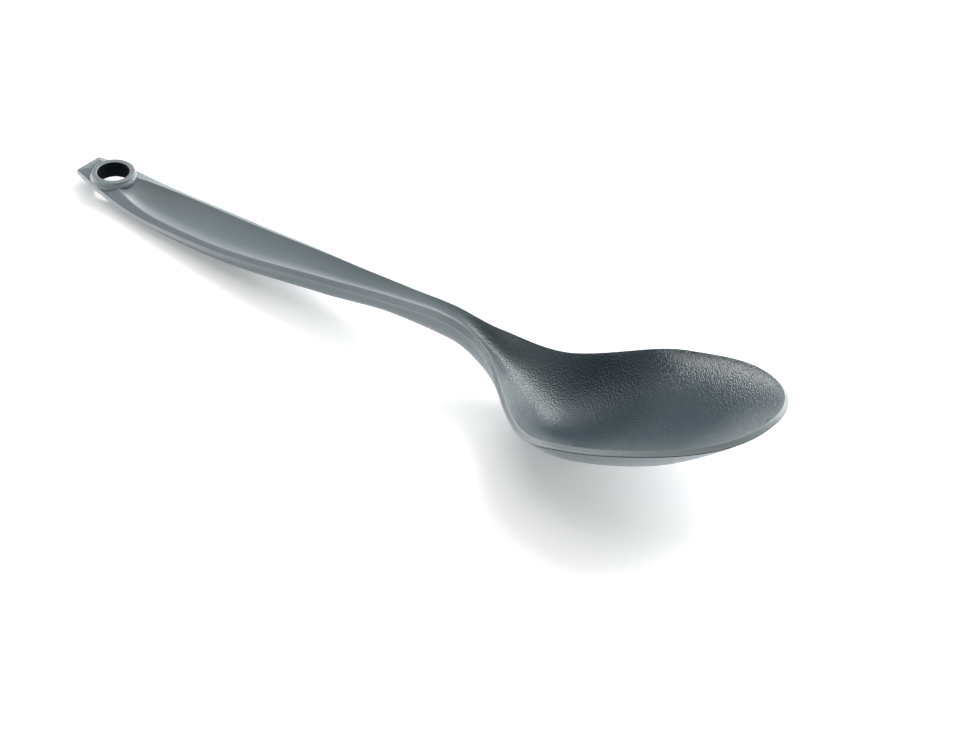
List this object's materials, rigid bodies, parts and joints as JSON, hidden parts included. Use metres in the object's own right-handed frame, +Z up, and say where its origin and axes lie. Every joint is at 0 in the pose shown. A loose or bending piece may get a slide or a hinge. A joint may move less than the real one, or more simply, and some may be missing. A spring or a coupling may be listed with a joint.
{
  "type": "camping spoon",
  "caption": "Moulded nylon camping spoon with a deep upturned bowl, a troughed handle and a round collared eye at its tail for hanging it up.",
  "frame": {"origin": "middle of the spoon's box, on the table that it lies on", "axes": "+X along the spoon towards the tip of the bowl, +Z up out of the bowl"},
  "size_m": [0.1856, 0.0406, 0.0273],
  "materials": {
    "nylon": "satin, fine spark-eroded grain",
    "collar": "satin, smooth"
  },
  "bodies": {
    "root": {"spoon_moulding": "nylon", "eye_collar": "collar"}
  },
  "joints": []
}
